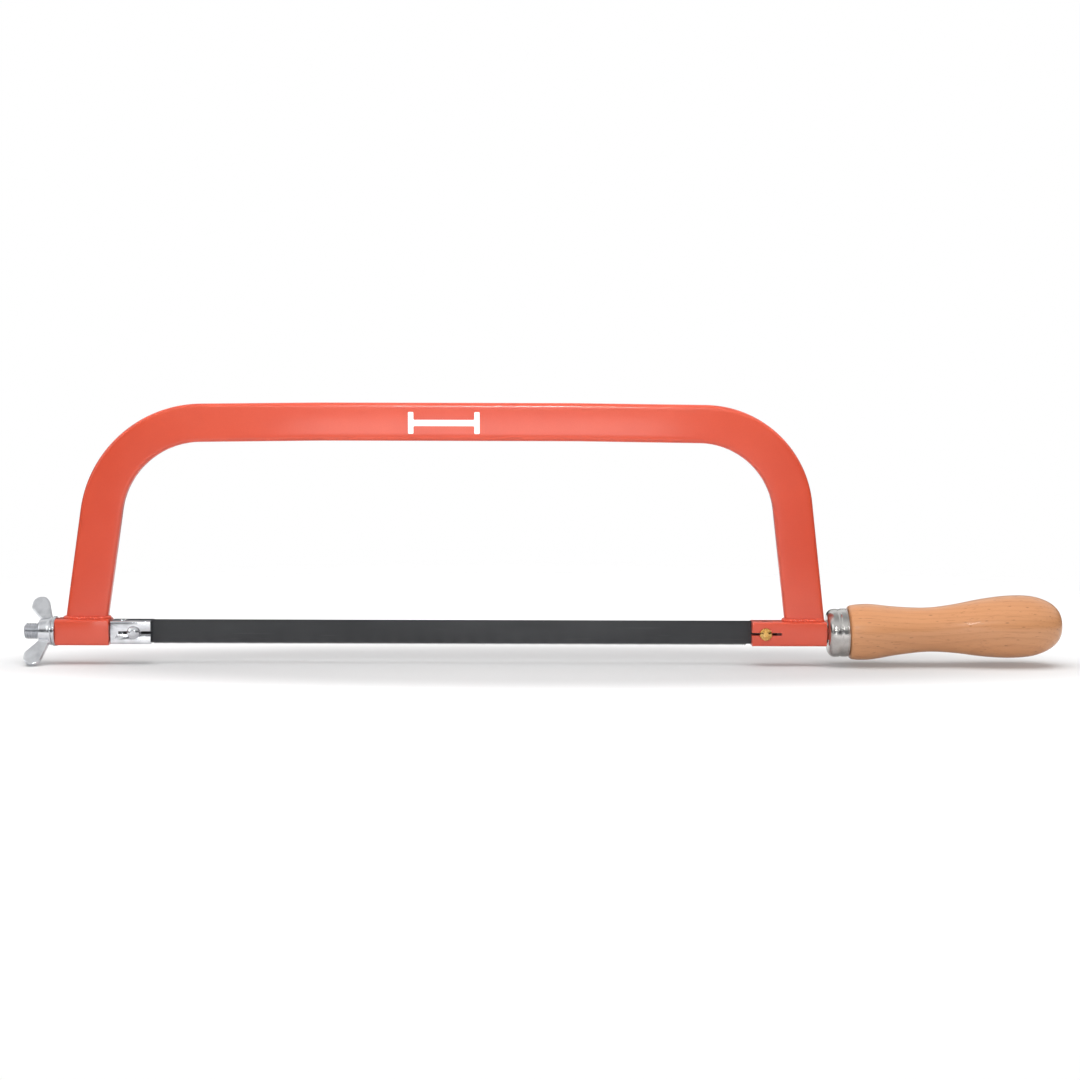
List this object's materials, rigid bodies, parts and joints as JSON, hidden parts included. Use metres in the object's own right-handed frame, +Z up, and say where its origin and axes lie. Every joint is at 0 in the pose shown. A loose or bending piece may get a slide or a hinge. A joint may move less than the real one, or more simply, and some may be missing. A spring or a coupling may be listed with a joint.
{
  "type": "bow hacksaw",
  "caption": "Fixed-frame bow hacksaw: flat steel bow, thin toothed blade pinned between slotted holders, wing-nut tensioner and turned wooden handle.",
  "frame": {"origin": "middle of the saw's outer box in X and Y, at its lowest point, which is the wing nut's lower tip", "axes": "+X along the blade towards the handle, +Z up from the teeth to the bow, Y across the blade"},
  "size_m": [0.496, 0.0298, 0.1251],
  "materials": {
    "red_enamel": "gloss enamel",
    "zinc_steel": "bright zinc plate",
    "blade_steel": "satin black lacquer",
    "brass": "bright",
    "beech": "clear lacquered beech",
    "white_print": "printed white ink"
  },
  "bodies": {
    "frame": {"bow_frame": "red_enamel", "front_guide_sleeve": "red_enamel", "tension_washer": "zinc_steel", "rear_blade_holder": "red_enamel", "handle_ferrule": "zinc_steel", "wooden_handle": "beech"},
    "nut": {"wing_nut": "zinc_steel"},
    "tensioner": {"front_blade_holder": "zinc_steel"},
    "blade": {"saw_blade": "blade_steel"},
    "front_pin": {"front_blade_pin": "zinc_steel"},
    "rear_pin": {"rear_blade_pin": "brass"}
  },
  "joints": [
    {"name": "wing_nut_spin", "type": "hinge", "parent": "frame", "child": "nut", "pos_m": [-0.2346, 0, 0.01555], "axis": [-1, 0, 0], "range_deg": [0, 576.2]},
    {"name": "tension_slide", "type": "slide", "parent": "frame", "child": "tensioner", "axis": [1, 0, 0], "range_m": [0, 0.002]},
    {"name": "blade_slack", "type": "slide", "parent": "frame", "child": "blade", "axis": [1, 0, 0], "range_m": [0, 0.00101]},
    {"name": "front_pin_pull", "type": "slide", "parent": "tensioner", "child": "front_pin", "axis": [0, -1, 0], "range_m": [0, 0.016]},
    {"name": "rear_pin_pull", "type": "slide", "parent": "frame", "child": "rear_pin", "axis": [0, -1, 0], "range_m": [0, 0.016]}
  ],
  "couplings": [
    {"joint": "wing_nut_spin", "follows": "tension_slide", "rad_per_m": 5026.5},
    {"joint": "blade_slack", "follows": "tension_slide", "ratio": 0.5}
  ]
}
